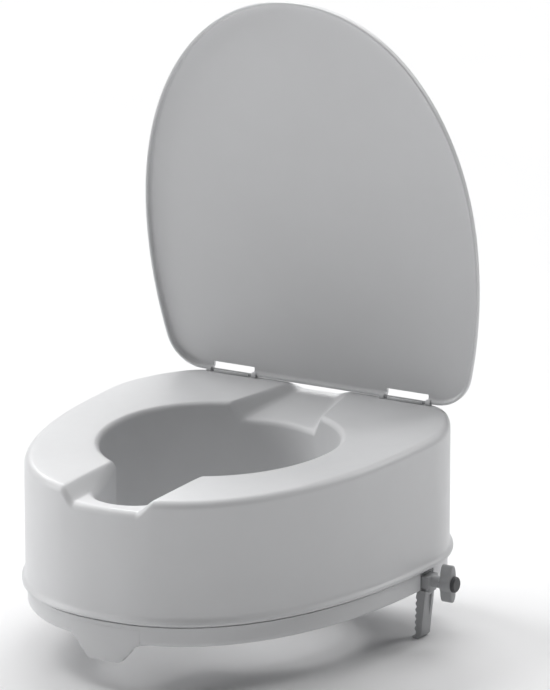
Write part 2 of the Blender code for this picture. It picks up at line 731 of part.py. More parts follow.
def build_arm(side, name, look):
    arm = object_from(
        f"clamp_arm_{name}",
        clamp_block(side, HEAD_X, (-HEAD_HALF, HEAD_HALF), HEAD_Z),
        look,
        place=(side * JAW_X[1], CLAMP_Y, SCREW_Z),
    )
    jaw = prism(jaw_outline(side), 1, CLAMP_Y - JAW_HALF, CLAMP_Y + JAW_HALF)
    stem_x = (JAW_X[0] + 0.0002, HEAD_X[1])
    fuse(
        arm,
        jaw,
        clamp_block(side, stem_x, (-STEM_HALF, STEM_HALF), MOUTH_Z),
        clamp_rod(side, (HEAD_X[1] - 0.002, NECK_END), NECK_RADIUS, 20),
    )
    for edge in (-1, 1):
        across = (edge * PRONG_INNER_HALF, edge * HEAD_HALF)
        fuse(arm, clamp_block(side, (PRONG_END, HEAD_X[0] + 0.002), across, HEAD_Z))
    panel = prism(
        [
            (CLAMP_Y - PANEL_HALF[0], SCREW_Z + PANEL_TOP),
            (CLAMP_Y + PANEL_HALF[0], SCREW_Z + PANEL_TOP),
            (CLAMP_Y + PANEL_HALF[1], SCREW_Z + PANEL_FOOT),
            (CLAMP_Y - PANEL_HALF[1], SCREW_Z + PANEL_FOOT),
        ],
        0,
        side * (JAW_X[1] - PANEL_DEPTH),
        side * (JAW_X[1] + 0.004),
    )
    cut(arm, clamp_rod(side, (0.1700, 0.2000), SCREW_RADIUS + FIT), panel)
    return arm


def build_knob(side, name, looks):
    """Wing knob with its cap, and the screw, washer and clip that turn with it."""
    axis = (side * NECK_END, CLAMP_Y, SCREW_Z)
    outline = []
    for i in range(36):
        angle = math.radians(10 * i)
        swell = (0.5 + 0.5 * math.cos(2 * angle)) ** 5  # one wing up, one down
        radius = KNOB_WAIST + (KNOB_RADIUS - KNOB_WAIST) * swell
        outline.append((CLAMP_Y + radius * math.sin(angle), SCREW_Z + radius * math.cos(angle)))
    body = prism(outline, 0, side * KNOB_X[0], side * KNOB_X[1])
    knob = object_from(f"clamp_knob_{name}", body, looks["grey"], place=axis)
    bevel = knob.modifiers.new("Bevel", "BEVEL")
    bevel.width = 0.0012
    bevel.segments = 1
    bevel.limit_method = "ANGLE"
    bevel.angle_limit = math.radians(60)
    cut(knob, clamp_rod(side, (KNOB_X[0] - 0.004, KNOB_X[0] + 0.0066), SCREW_RADIUS + FIT))

    cap_x = KNOB_X[1] + FIT
    flat = (0.0, side * math.pi / 2, 0.0)
    turned(
        f"knob_cap_{name}",
        [
            (0.0, CAP_HEIGHT),
            (CAP_RADIUS - 0.0012, CAP_HEIGHT),
            (CAP_RADIUS - 0.0002, CAP_HEIGHT - 0.0010),
            (CAP_RADIUS, 0.0),
            (0.0, 0.0),
        ],
        looks["dark"],
        (side * cap_x, CLAMP_Y, SCREW_Z),
        flat,
    )
    turned(
        f"thrust_washer_{name}",
        [(0.0034, 0.0009), (0.0060, 0.0009), (0.0060, 0.0), (0.0034, 0.0), (0.0034, 0.0009)],
        looks["steel"],
        (side * (NECK_END + FIT), CLAMP_Y, SCREW_Z),
        flat,
        16,
    )
    clip_x = HEAD_X[0] - 0.0015
    turned(
        f"screw_clip_{name}",
        [(0.0027, 0.0010), (0.0050, 0.0010), (0.0050, 0.0), (0.0027, 0.0), (0.0027, 0.0010)],
        looks["steel"],
        (side * clip_x, CLAMP_Y, SCREW_Z),
        flat,
        16,
    )
    start, end = 0.1392, KNOB_X[0] + 0.0062
    groove = clip_x - 0.0002 - start
    profile = [(0.0, end - start), (SCREW_RADIUS, end - start)]
    profile += [(SCREW_RADIUS, groove + 0.0014), (0.0024, groove + 0.0014), (0.0024, groove)]
    ridges = int(groove / THREAD_STEP) - 1
    for i in range(ridges, 0, -1):
        profile.append((SCREW_RADIUS, (i + 0.2) * THREAD_STEP))
        profile.append((SCREW_RADIUS - 0.0004, (i - 0.3) * THREAD_STEP))
    profile += [(SCREW_RADIUS - 0.0006, 0.0), (0.0, 0.0)]
    place = (side * start, CLAMP_Y, SCREW_Z)
    turned(f"clamp_screw_{name}", profile, looks["steel"], place, flat, 12)
    return knob


# ---------------------------------------------------------------- fasteners and pads


def build_screw(name, look, place, sizes):
    """Pan-head screw driven upwards: its head lies under place and its shank above."""
    head_radius, shank_radius, shank_length = sizes
    head = SCREW_HEAD_HEIGHT
    profile = [
        (0.0, shank_length),
        (shank_radius * 0.6, shank_length),
        (shank_radius, shank_length - 0.0015),
        (shank_radius, 0.0),
        (head_radius, 0.0),
        (head_radius, -0.4 * head),
        (0.7 * head_radius, -head),
        (0.0, -head),
    ]
    screw = turned(name, profile, look, place, None, 8)
    x, y, z = place
    for long_x, long_y in ((0.55, 0.12), (0.12, 0.55)):
        reach_x, reach_y = long_x * head_radius, long_y * head_radius
        low, high = (x - reach_x, y - reach_y, z - 0.0030), (x + reach_x, y + reach_y, z - 0.0010)
        cut(screw, block(low, high))
    return screw


def build_pad(name, look, x, y, angle):
    """Round-ended pad that rests on the bowl's rim."""
    outline = []
    for end in (1, -1):
        for i in range(7):
            turn = math.radians(30 * i - 90)
            along = PAD_STRAIGHT + PAD_RADIUS * math.cos(turn)
            outline.append((end * along, end * PAD_RADIUS * math.sin(turn)))
    bm = prism(outline, 2, -PAD_HEIGHT, 0.0)
    place = (x, y, BASE_Z - FIT)
    bm.transform(Matrix.Translation(place) @ Matrix.Rotation(math.radians(angle), 4, "Z"))
    return object_from(name, bm, look, place=place)


def build():
    looks = {
        "white": new_material("white_plastic", WHITE, 0.35),
        "lid": new_material("lid_plastic", WHITE, 0.30),
        "grey": new_material("grey_plastic", GREY, 0.5),
        "dark": new_material("dark_plastic", DARK_GREY, 0.5),
        "steel": new_material("steel", STEEL, 0.3, 1.0),
        "rubber": new_material("rubber", RUBBER, 0.8),
    }
    build_seat_shell(looks["white"])
    build_base_ring(looks["white"])
    lid = build_lid(looks["lid"])
    for side, name in ((1, "left"), (-1, "right")):
        build_hinge(side, name, looks["white"], looks["grey"])
        build_guide(side, name, looks["grey"])
        build_nut(side, name, looks["steel"])
        build_arm(side, name, looks["grey"])
        build_knob(side, name, looks)
        for spot, (x, y) in zip(("rear", "middle", "front"), BASE_SCREWS):
            place = (side * x, y, BASE_Z - FIT)
            build_screw(f"base_screw_{name}_{spot}", looks["steel"], place, BASE_SCREW)
        for spot, y in zip(("front", "rear"), GUIDE_SCREW_Y):
            place = (side * GUIDE_SCREW_X, y, BASE_Z - FIT)
            build_screw(f"guide_screw_{name}_{spot}", looks["steel"], place, GUIDE_SCREW)
        for spot, (x, y, angle) in zip(("side", "front", "rear"), RIM_PADS):
            build_pad(f"rim_pad_{name}_{spot}", looks["rubber"], side * x, y, side * angle)
    lid.rotation_euler = (LID_LEAN - math.pi / 2, 0.0, 0.0)


build()
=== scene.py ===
"""Looks of a raised toilet seat: white moulded body and lid, grey clamps, on a pale studio floor.

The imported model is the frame. The body, the base ring, the lid, the clamp arms and the knobs
are built again here with fine curves and rounded edges, and the small CAD pieces are kept.
The front of the seat is -Y, the rear is +Y, +X is the sitter's left and +Z is up, in metres.
"""

import json
import math

import bmesh
import bpy
import numpy as np
from mathutils import Matrix, Vector


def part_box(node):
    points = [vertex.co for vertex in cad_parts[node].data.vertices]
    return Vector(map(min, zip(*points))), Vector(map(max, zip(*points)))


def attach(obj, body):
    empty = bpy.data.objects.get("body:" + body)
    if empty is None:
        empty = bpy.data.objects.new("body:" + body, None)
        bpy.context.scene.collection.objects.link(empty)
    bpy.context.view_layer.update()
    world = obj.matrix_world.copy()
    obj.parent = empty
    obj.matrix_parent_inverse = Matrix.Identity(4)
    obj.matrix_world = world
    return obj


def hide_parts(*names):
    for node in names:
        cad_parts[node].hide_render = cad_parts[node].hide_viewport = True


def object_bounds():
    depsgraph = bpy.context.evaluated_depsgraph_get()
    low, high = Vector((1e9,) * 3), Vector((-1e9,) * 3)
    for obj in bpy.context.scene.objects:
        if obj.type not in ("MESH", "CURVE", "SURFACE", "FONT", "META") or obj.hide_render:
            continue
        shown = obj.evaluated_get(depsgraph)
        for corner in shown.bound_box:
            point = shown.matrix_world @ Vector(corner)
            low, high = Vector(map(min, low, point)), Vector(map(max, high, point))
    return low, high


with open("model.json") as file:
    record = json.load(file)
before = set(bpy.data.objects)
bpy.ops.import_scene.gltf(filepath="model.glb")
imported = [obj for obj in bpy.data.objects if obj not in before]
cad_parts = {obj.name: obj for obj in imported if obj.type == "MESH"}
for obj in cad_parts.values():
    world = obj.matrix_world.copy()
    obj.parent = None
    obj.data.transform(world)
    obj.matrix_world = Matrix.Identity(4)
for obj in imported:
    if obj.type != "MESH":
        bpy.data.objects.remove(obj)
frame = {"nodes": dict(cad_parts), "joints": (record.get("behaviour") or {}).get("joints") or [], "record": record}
CAD_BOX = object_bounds()

SHELL_LOW, SHELL_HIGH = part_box("seat_shell")
RING_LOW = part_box("base_ring")[0]
JOINTS = {joint["name"]: joint for joint in frame["joints"]}

# ---------------------------------------------------------------- sizes of the moulded body

FLARE = 0.0035  # the wall's foot stands out over the base ring
HALF_WIDTH = SHELL_HIGH.x - FLARE
REAR_Y = SHELL_HIGH.y - FLARE
FRONT_Y = SHELL_LOW.y + FLARE
WIDEST_Y = 0.100
REAR_TAPER = 0.0467
REAR_CORNER = 0.0452
FRONT_POWER = 2.31

SKIRT_Z = SHELL_LOW.z
GROOVE_Z = SKIRT_Z + 0.030
TOP_Z = GROOVE_Z + 0.1233
TOP_SLOPE = 0.0201
TAB_DEPTH = 0.0190
BASE_Z = RING_LOW.z + TAB_DEPTH

OPENING_HALF = 0.112
OPENING_Y = 0.017
OPENING_REAR = 0.105
OPENING_FRONT = 0.132
NOTCH_HALF = 0.046
NOTCH_END_HALF = 0.033
NOTCH_END_Y = -0.156
NOTCH_TIP_Y = -0.181

FRONT_FLOOR, FRONT_TOP = 0.033, 0.051
FRONT_DEPTH = 0.0125
REAR_FLOOR, REAR_TOP = (0.039, 0.0227), (0.050, 0.0394)  # at the opening, at the rear
REAR_DEPTH = (0.0165, 0.007)
REAR_RECESS_Y = (0.120, 0.179)

SHELL_WALL = 0.003
SHOULDER_RADIUS = 0.008
LIP_RADIUS = 0.006
SKIRT_DRAFT = 0.002
SKIRT_START = 0.060  # the skirt's inner face hangs from this far above the seam
RING_WALL = 0.0025
RING_GAP = 0.0008  # between the skirt and the ring's upstanding inner lip
RING_LIP = (0.003, 0.004)  # its top under the seam, its foot over the ring's underside
RING_FILLET = 0.002
LEDGE_GAP = 0.0006  # between the shell's wall and the ring's upstanding outer lip
LEDGE_DROPS = (0.0026, 0.0022)  # the ledge under the seam, at the band and at the lip
LEDGE_RISE = 0.0085  # the outer lip's height over the seam
CUT_MARGIN = 0.006  # how far a cutter reaches past the ring's underside, both ways
BAND_INSET = 0.0019
RING_CORNER = 0.005
TAB_TOP_HALF, TAB_FOOT_HALF, TAB_THICKNESS = 0.0323, 0.0206, 0.0051
TAB_FILLET, TAB_ROUND, TAB_PROUD = 0.0050, 0.0060, 0.00006
TAB_EDGE = 0.0011
TAB_TOP_Z = BASE_Z + 0.0150

# ---------------------------------------------------------------- sizes of the lid

HINGE = Vector(JOINTS["lid_hinge"]["pos_m"])
LID_LENGTH = 0.390
LID_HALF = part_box("lid")[1].x
LID_WIDEST = 0.1466
LID_TAPER = 0.0233
LID_CORNER = 0.039
LID_POWER = 2.10
LID_WALL = 0.003
LID_REAR = 0.0007
LID_UNDER = 0.0013
LID_TOP = 0.0075
LID_EDGE_RADIUS = 0.0045
LID_CROWN = 0.003
LID_FILLET = 0.0022  # between the rim's inner wall and the inner face
LID_RIM_ROUND = 0.0011
LID_MIDDLE = 0.12  # share of the outline at which its innermost ring lies
LID_RINGS = 12
LID_CENTRE_Y = -0.175
LID_LEAN = math.radians(6.7)
SLOT_X = (0.0742, 0.1202)
SLOT_HEIGHT = 0.0068
KNUCKLE_LENGTH = 0.0045
KNUCKLE_RADIUS = 0.0032
PIN_HOLE_RADIUS = 0.0020
CLIP_X = (0.0782, 0.1162)
TROUGH_RADIUS = 0.0037
TROUGH_REACH, PIN_HOLE_REACH = 0.0008, 0.001  # past the knuckles' ends
CLIP_GAP = 0.0003
CLIP_SLOT_HALF, CLIP_SLOT_Z = 0.0023, (-0.020, 0.005)
SLOT_CUT_REAR, SLOT_CUT_Z = 0.008, (-0.012, 0.020)

# ---------------------------------------------------------------- sizes of the clamps

SCREW_AXIS = Vector(JOINTS["knob_turn_left"]["pos_m"])
CLAMP_Y, SCREW_Z, NECK_END = SCREW_AXIS.y, SCREW_AXIS.z, SCREW_AXIS.x
SCREW_HOLE_RADIUS = 0.0033
JAW_X = (0.1742, 0.1830)
JAW_HALF = 0.0089
JAW_TOP = -0.0088  # heights in the clamp are given from the screw's axis
JAW_LEAN = (0.0018, 0.0048)
JAW_CHAMFER = 0.003
HOOK_REACH, HOOK_LEAN, HOOK_TIP, HOOK_TOP = 0.0032, 0.0004, 0.0020, 0.0044
TEETH, TOOTH_PITCH, TOOTH_DEPTH = 6, 0.0062, 0.0014
FIRST_TOOTH = 0.0070  # over the foot
HEAD_X, HEAD_HALF, HEAD_Z = (0.1740, 0.1862), 0.0092, (-0.0060, 0.0057)
STEM_HALF, STEM_Z, STEM_INSET = 0.0066, (-0.0100, 0.0), 0.0002
JOIN = 0.002  # how far blocks of one piece reach into each other
ARM_BORE_X = (0.1700, 0.2000)
ARM_EDGE = 0.00035
NECK_RADIUS = 0.0057
PRONG_END, PRONG_INNER_HALF = 0.1380, 0.0068
PANEL_TOP, PANEL_FOOT, PANEL_DEPTH = -0.0140, -0.0470, 0.0030
PANEL_HALF = (0.0052, 0.0040)
PANEL_PAST = 0.004
KNOB_RADIUS, KNOB_WAIST = 0.0184, 0.0082
KNOB_X = (0.1964, 0.2084)
KNOB_POINTS = 144
KNOB_NARROWING = 5  # the higher, the narrower the wings
KNOB_EDGE = 0.0013
KNOB_BORE = (-0.004, 0.0066)  # from the knob's inner face
WINDOW_INNER, WINDOW_OUTER, WINDOW_HALF, WINDOW_HEAD = 0.1258, 0.1900, 0.0125, 0.0030
GUIDE_SCREW_X, GUIDE_SCREW_STEP = 0.157, 0.0168
BASE_SCREWS = [(0.135, 0.149), (0.147, -0.006), (0.084, -0.128)]
BASE_HOLE_RADIUS, GUIDE_HOLE_RADIUS = 0.0026, 0.0019

# Half stations round an outline, between the edges of the rear and the front recess
STATIONS = (10, 14, 92, 18, 12)
LID_STATIONS = (12, 14, 100, 16, 12)
LID_KEYS = ((0.05, 0.10), (0.075, 0.030))

# Steps round the small curves of a section, and the distance at which points are merged
SHOULDER_STEPS, TOP_STEPS, LIP_STEPS = 10, 14, 9
RING_FILLET_STEPS, RING_CORNER_STEPS = 4, 8
LID_FILLET_STEPS, LID_RIM_STEPS, LID_EDGE_STEPS = 6, 6, 8
MERGE = 0.00001

# ---------------------------------------------------------------- camera and floor

CAMERA_AZIMUTH, CAMERA_ELEVATION = math.radians(30.59), math.radians(15.30)
CAMERA_DISTANCE = 6.6516
CAMERA_ACROSS, CAMERA_RISE = 0.0557, 0.2074
CAMERA_TARGET = Vector((0.0, 0.002, GROOVE_Z))
CAMERA_LENS, CAMERA_SENSOR = 365.2, 36.0
FLOOR_HALF, FLOOR_GAP = 60.0, 0.0002


# ---------------------------------------------------------------- materials

NOISE_MIDDLE = (0.3, 0.7)  # the range that most of a noise's values lie in
PLASTIC_IOR = 1.49


def node_material(name):
    """New material, with its node tree and its Principled shader."""
    material = bpy.data.materials.new(name)
    material.use_nodes = True
    tree = material.node_tree
    return material, tree, tree.nodes["Principled BSDF"]


def add_noise(tree, scale, detail, stretch=None):
    """Noise in the object's own metres, optionally stretched along an axis."""
    coordinates = tree.nodes.new("ShaderNodeTexCoord")
    noise = tree.nodes.new("ShaderNodeTexNoise")
    noise.inputs["Scale"].default_value = scale
    noise.inputs["Detail"].default_value = detail
    noise.inputs["Roughness"].default_value = 0.5
    source = coordinates.outputs["Object"]
    if stretch:
        mapping = tree.nodes.new("ShaderNodeMapping")
        mapping.inputs["Scale"].default_value = stretch
        tree.links.new(source, mapping.inputs["Vector"])
        source = mapping.outputs["Vector"]
    tree.links.new(source, noise.inputs["Vector"])
    return noise.outputs["Fac"]


def add_ramp(tree, factor, low, high):
    """Colour ramp from low to high over the middle of a noise."""
    ramp = tree.nodes.new("ShaderNodeValToRGB")
    for stop, position, colour in zip(ramp.color_ramp.elements, NOISE_MIDDLE, (low, high)):
        stop.position = position
        stop.color = colour
    tree.links.new(factor, ramp.inputs["Fac"])
    return ramp.outputs["Color"]


def add_range(tree, factor, low, high):
    """A noise's value carried onto the range low to high."""
    spread = tree.nodes.new("ShaderNodeMapRange")
    spread.inputs["From Min"].default_value = NOISE_MIDDLE[0]
    spread.inputs["From Max"].default_value = NOISE_MIDDLE[1]
    spread.inputs["To Min"].default_value = low
    spread.inputs["To Max"].default_value = high
    tree.links.new(factor, spread.inputs["Value"])
    return spread.outputs["Result"]


def add_bump(tree, shader, layers):
    """Stacked bumps, each a (height, strength, distance in metres)."""
    normal = None
    for height, strength, distance in layers:
        bump = tree.nodes.new("ShaderNodeBump")
        bump.inputs["Strength"].default_value = strength
        bump.inputs["Distance"].default_value = distance
        tree.links.new(height, bump.inputs["Height"])
        if normal:
            tree.links.new(normal, bump.inputs["Normal"])
        normal = bump.outputs["Normal"]
    tree.links.new(normal, shader.inputs["Normal"])


def plastic(name, colour, tint, roughness, grain):
    """Moulded plastic: a faint flow mottle, uneven gloss and a fine grain over slow waves."""
    material, tree, shader = node_material(name)
    mottle = add_noise(tree, 14.0, 4.0)
    tree.links.new(add_ramp(tree, mottle, tint, colour), shader.inputs["Base Color"])
    gloss = add_noise(tree, 60.0, 5.0)
    tree.links.new(add_range(tree, gloss, *roughness), shader.inputs["Roughness"])
    waves = add_noise(tree, 35.0, 1.0)
    pores = add_noise(tree, 1900.0, 2.0)
    add_bump(tree, shader, [(waves, 0.12, 0.0006), (pores, grain, 0.00004)])
    shader.inputs["IOR"].default_value = PLASTIC_IOR
    return material


def brushed_steel(name):
    """Bright fastener steel with fine turning marks and dulled patches."""
    material, tree, shader = node_material(name)
    patches = add_noise(tree, 240.0, 4.0)
    light, dull = (0.66, 0.67, 0.69, 1.0), (0.47, 0.48, 0.50, 1.0)
    tree.links.new(add_ramp(tree, patches, dull, light), shader.inputs["Base Color"])
    marks = add_noise(tree, 900.0, 2.0, stretch=(0.08, 1.0, 1.0))
    tree.links.new(add_range(tree, marks, 0.22, 0.42), shader.inputs["Roughness"])
    add_bump(tree, shader, [(marks, 0.25, 0.00003)])
    shader.inputs["Metallic"].default_value = 1.0
    return material


def rubber(name):
    """Matt rubber with a dusty bloom and a pebbled skin."""
    material, tree, shader = node_material(name)
    bloom = add_noise(tree, 90.0, 5.0)
    dark, dusty = (0.035, 0.035, 0.038, 1.0), (0.075, 0.075, 0.08, 1.0)
    tree.links.new(add_ramp(tree, bloom, dark, dusty), shader.inputs["Base Color"])
    tree.links.new(add_range(tree, bloom, 0.72, 0.92), shader.inputs["Roughness"])
    pebbles = add_noise(tree, 1300.0, 2.0)
    add_bump(tree, shader, [(pebbles, 0.5, 0.00012)])
    return material


WHITE = plastic("white_plastic", (0.74, 0.745, 0.755, 1), (0.72, 0.724, 0.733, 1), (0.34, 0.46), 0.22)
LID_WHITE = plastic("lid_plastic", (0.74, 0.745, 0.755, 1), (0.72, 0.724, 0.733, 1), (0.30, 0.40), 0.14)
GREY = plastic("grey_plastic", (0.47, 0.475, 0.485, 1), (0.41, 0.415, 0.425, 1), (0.38, 0.54), 0.50)
DARK = plastic("dark_plastic", (0.085, 0.086, 0.09, 1), (0.065, 0.066, 0.07, 1), (0.36, 0.52), 0.50)
STEEL = brushed_steel("steel")
RUBBER = rubber("rubber")
LOOKS = {
    "white_plastic": WHITE,
    "lid_plastic": LID_WHITE,
    "grey_plastic": GREY,
    "dark_plastic": DARK,
    "steel": STEEL,
    "rubber": RUBBER,
}


# ---------------------------------------------------------------- building helpers


def mesh_object(name, bm, look):
    bm.normal_update()
    bmesh.ops.recalc_face_normals(bm, faces=bm.faces)
    mesh = bpy.data.meshes.new(name)
    bm.to_mesh(mesh)
    bm.free()
    mesh.shade_smooth()
    mesh.set_sharp_from_angle(angle=math.radians(35))
    mesh.materials.append(look)
    obj = bpy.data.objects.new(name, mesh)
    bpy.context.scene.collection.objects.link(obj)
    return obj


def block(low, high):
    """Bmesh box between two corners, given in either order along each axis."""
    low, high = Vector(low), Vector(high)
    size = Vector([abs(b - a) for a, b in zip(low, high)])
    bm = bmesh.new()
    place = Matrix.Translation((low + high) / 2) @ Matrix.Diagonal((*size, 1.0))
    bmesh.ops.create_cube(bm, size=1.0, matrix=place)
    return bm


def rod(start, end, radius, segments=48):
    """Bmesh cylinder from start to end, with flat ends."""
    start, end = Vector(start), Vector(end)
    along = end - start
    turn = along.to_track_quat("Z", "Y").to_matrix().to_4x4()
    bm = bmesh.new()
    bmesh.ops.create_cone(
        bm,
        cap_ends=True,
        segments=segments,
        radius1=radius,
        radius2=radius,
        depth=along.length,
        matrix=Matrix.Translation((start + end) / 2) @ turn,
    )
    return bm


def prism(points, axis, low, high):
    """Bmesh of a flat outline swept from low to high along axis 0, 1 or 2."""
    others = [i for i in range(3) if i != axis]
    bm = bmesh.new()
    verts = []
    for a, b in points:
        spot = [0.0, 0.0, 0.0]
        spot[axis] = low
        spot[others[0]] = a
        spot[others[1]] = b
        verts.append(bm.verts.new(spot))
    base = bm.faces.new(verts)
    swept = bmesh.ops.extrude_face_region(bm, geom=[base])
    shift = Vector([high - low if i == axis else 0.0 for i in range(3)])
    moved = [item for item in swept["geom"] if isinstance(item, bmesh.types.BMVert)]
    bmesh.ops.translate(bm, verts=moved, vec=shift)
    return bm


def apply_modifiers(obj):
    """Keeps the evaluated mesh and drops the modifiers, so that helpers can be removed."""
    graph = bpy.context.evaluated_depsgraph_get()
    mesh = bpy.data.meshes.new_from_object(obj.evaluated_get(graph))
    obj.modifiers.clear()
    obj.data = mesh


def combine(obj, operation, pieces):
    """Boolean of obj with each bmesh, applied at once."""
    helpers = []
    for i, bm in enumerate(pieces):
        helper = mesh_object(f"{obj.name}_helper_{i}", bm, obj.data.materials[0])
        modifier = obj.modifiers.new(helper.name, "BOOLEAN")
        modifier.operation = operation
        modifier.solver = "EXACT"
        modifier.object = helper
        helpers.append(helper)
    apply_modifiers(obj)
    for helper in helpers:
        bpy.data.objects.remove(helper)


def soften(obj, width, segments=3, angle=30.0):
    """Rounds the edges of a piece and shades it smooth."""
    bevel = obj.modifiers.new("Rounded edges", "BEVEL")
    bevel.width = width
    bevel.segments = segments
    bevel.limit_method = "ANGLE"
    bevel.angle_limit = math.radians(angle)
    bevel.use_clamp_overlap = True
    apply_modifiers(obj)
    shade(obj, 50.0)


def place_piece(obj, body, slot_name, *nodes):
    """Puts a fine piece in the place of its CAD nodes, on their body."""
    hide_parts(*nodes)
    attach(obj, body)
    return obj


# ---------------------------------------------------------------- outlines and heights


def d_half_outline(half, front, rear, widest, taper, corner, power):
    """Right half of a D-shaped plan, closely sampled from the rear centre to the front tip."""
    span = rear - widest
    tangent_y = rear - corner
    for _ in range(8):  # where the corner arc meets the tapering side
        slope = math.atan(2 * taper * (tangent_y - widest) / span**2)
        tangent_y = rear - corner + corner * math.sin(slope)
    side_x = half - taper * ((tangent_y - widest) / span) ** 2
    centre_x, centre_y = side_x - corner * math.cos(slope), rear - corner
    points = [(x, rear) for x in np.linspace(0.0, centre_x, 120)[:-1]]
    for angle in np.linspace(math.pi / 2, slope, 200)[:-1]:
        points.append((centre_x + corner * math.cos(angle), centre_y + corner * math.sin(angle)))
    for y in np.linspace(tangent_y, widest, 200)[:-1]:
        points.append((half - taper * ((y - widest) / span) ** 2, y))
    for angle in np.linspace(0.0, math.pi / 2, 900):
        across = abs(math.cos(angle)) ** (2 / power)
        ahead = math.sin(angle) ** (2 / power)
        points.append((half * across, widest + (front - widest) * ahead))
    points[-1] = (0.0, front)
    return np.array(points)


def opening_half_outline():
    """Right half of the bowl opening: an oval that runs into a narrower notch at the front."""
    points = []
    for angle in np.linspace(math.pi / 2, 0.0, 300)[:-1]:
        points.append((OPENING_HALF * math.cos(angle), OPENING_Y + OPENING_REAR * math.sin(angle)))
    meeting = math.acos(NOTCH_HALF / OPENING_HALF)
    for angle in np.linspace(0.0, meeting, 300)[:-1]:
        points.append((OPENING_HALF * math.cos(angle), OPENING_Y - OPENING_FRONT * math.sin(angle)))
    corner_y = OPENING_Y - OPENING_FRONT * math.sin(meeting)
    for part in np.linspace(0.0, 1.0, 80)[:-1]:
        narrowed = NOTCH_HALF + (NOTCH_END_HALF - NOTCH_HALF) * part
        points.append((narrowed, corner_y + (NOTCH_END_Y - corner_y) * part))
    for angle in np.linspace(0.0, math.pi / 2, 120):
        ahead = (NOTCH_TIP_Y - NOTCH_END_Y) * math.sin(angle)
        points.append((NOTCH_END_HALF * math.cos(angle), NOTCH_END_Y + ahead))
    points[0] = (0.0, OPENING_Y + OPENING_REAR)
    points[-1] = (0.0, NOTCH_TIP_Y)
    return np.array(points)


def station_points(points, rear_keys, front_keys, stations_between=STATIONS):
    """Points of a half outline at the stations, so that both recesses' edges lie on mesh lines."""
    steps = np.linalg.norm(np.diff(points, axis=0), axis=1)
    along = np.concatenate([[0.0], np.cumsum(steps)])
    turn = int(np.argmax(points[:, 0]))
    keys = [0.0]
    for key in rear_keys:
        keys.append(float(np.interp(key, points[:turn, 0], along[:turn])))
    for key in front_keys:
        keys.append(float(np.interp(-key, -points[turn:, 0], along[turn:])))
    keys.append(along[-1])
    stations = [0.0]
    for start, end, count in zip(keys, keys[1:], stations_between):
        stations.extend(np.linspace(start, end, count + 1)[1:])
    return np.column_stack([np.interp(stations, along, points[:, i]) for i in (0, 1)])


def outward(points):
    """Offset directions of a half outline's stations, long enough that an offset stays parallel."""
    whole = np.vstack([points[1] * (-1, 1), points, points[-2] * (-1, 1)])
    tangent = np.diff(whole, axis=0)
    normal = np.column_stack([-tangent[:, 1], tangent[:, 0]])
    normal /= np.linalg.norm(normal, axis=1)[:, None]
    before, after = normal[:-1], normal[1:]
    return (before + after) / (1 + np.sum(before * after, axis=1))[:, None]


def smooth(value):
    value = min(max(value, 0.0), 1.0)
    return value * value * (3 - 2 * value)


def seat_height(x, y):
    """Height of the seat surface, with the front and the rear recess sunk in it."""
    height = TOP_Z + TOP_SLOPE * y
    across = abs(x)
    if y < 0:
        return height - FRONT_DEPTH * smooth((FRONT_TOP - across) / (FRONT_TOP - FRONT_FLOOR))
    if y > OPENING_Y + 0.5 * OPENING_REAR:
        part = (y - REAR_RECESS_Y[0]) / (REAR_RECESS_Y[1] - REAR_RECESS_Y[0])
        floor = REAR_FLOOR[0] + (REAR_FLOOR[1] - REAR_FLOOR[0]) * part
        top = REAR_TOP[0] + (REAR_TOP[1] - REAR_TOP[0]) * part
        depth = REAR_DEPTH[0] + (REAR_DEPTH[1] - REAR_DEPTH[0]) * part
        return height - depth * smooth((top - across) / (top - floor))
    return height


def half_skin(name, rings, look, tip=None, foot=None):
    """Skin through half rings of (x, y, z) points, mirrored in the plane X = 0."""
    bm = bmesh.new()
    rows = []
    for ring in rings:
        row = [bm.verts.new(spot) for spot in ring]
        row[0].co.x = 0.0
        row[-1].co.x = 0.0
        rows.append(row)
    for upper, lower in zip(rows, rows[1:]):
        for i in range(len(upper) - 1):
            bm.faces.new((upper[i], lower[i], lower[i + 1], upper[i + 1]))
    for centre, row in ((tip, rows[-1]), (foot, rows[0])):
        if centre is None:
            continue
        middle = bm.verts.new(centre)
        for i in range(len(row) - 1):
            bm.faces.new((row[i], middle, row[i + 1]))
    mesh = bpy.data.meshes.new(name)
    bm.to_mesh(mesh)
    bm.free()
    mesh.materials.append(look)
    obj = bpy.data.objects.new(name, mesh)
    bpy.context.scene.collection.objects.link(obj)
    mirror = obj.modifiers.new("Mirror", "MIRROR")
    mirror.merge_threshold = MERGE
    return obj


def finish_skin(obj, thickness=None):
    """Gives an open skin its wall, where it has one, and turns the faces outwards."""
    if thickness:
        wall = obj.modifiers.new("Wall", "SOLIDIFY")
        wall.thickness = thickness
        wall.offset = -1.0
        wall.use_quality_normals = True
    apply_modifiers(obj)
    bm = bmesh.new()
    bm.from_mesh(obj.data)
    bmesh.ops.recalc_face_normals(bm, faces=bm.faces)
    bm.to_mesh(obj.data)
    bm.free()


def shade(obj, angle=40.0):
    obj.data.shade_smooth()
    obj.data.set_sharp_from_angle(angle=math.radians(angle))


def level_ring(points, normals, offset, z):
    return [(x, y, z) for x, y in points + normals * offset]


def draped_ring(plan, drop):
    return [(x, y, seat_height(x, y) - drop) for x, y in plan]


# ---------------------------------------------------------------- seat shell and base ring

BODY = station_points(
    d_half_outline(HALF_WIDTH, FRONT_Y, REAR_Y, WIDEST_Y, REAR_TAPER, REAR_CORNER, FRONT_POWER),
    (REAR_FLOOR[1], REAR_TOP[1]),
    (FRONT_TOP, FRONT_FLOOR),
)
BODY_OUT = outward(BODY)
OPENING = station_points(
    opening_half_outline(), (REAR_FLOOR[0], REAR_TOP[0]), (NOTCH_HALF, NOTCH_END_HALF)
)
OPENING_OUT = outward(OPENING)

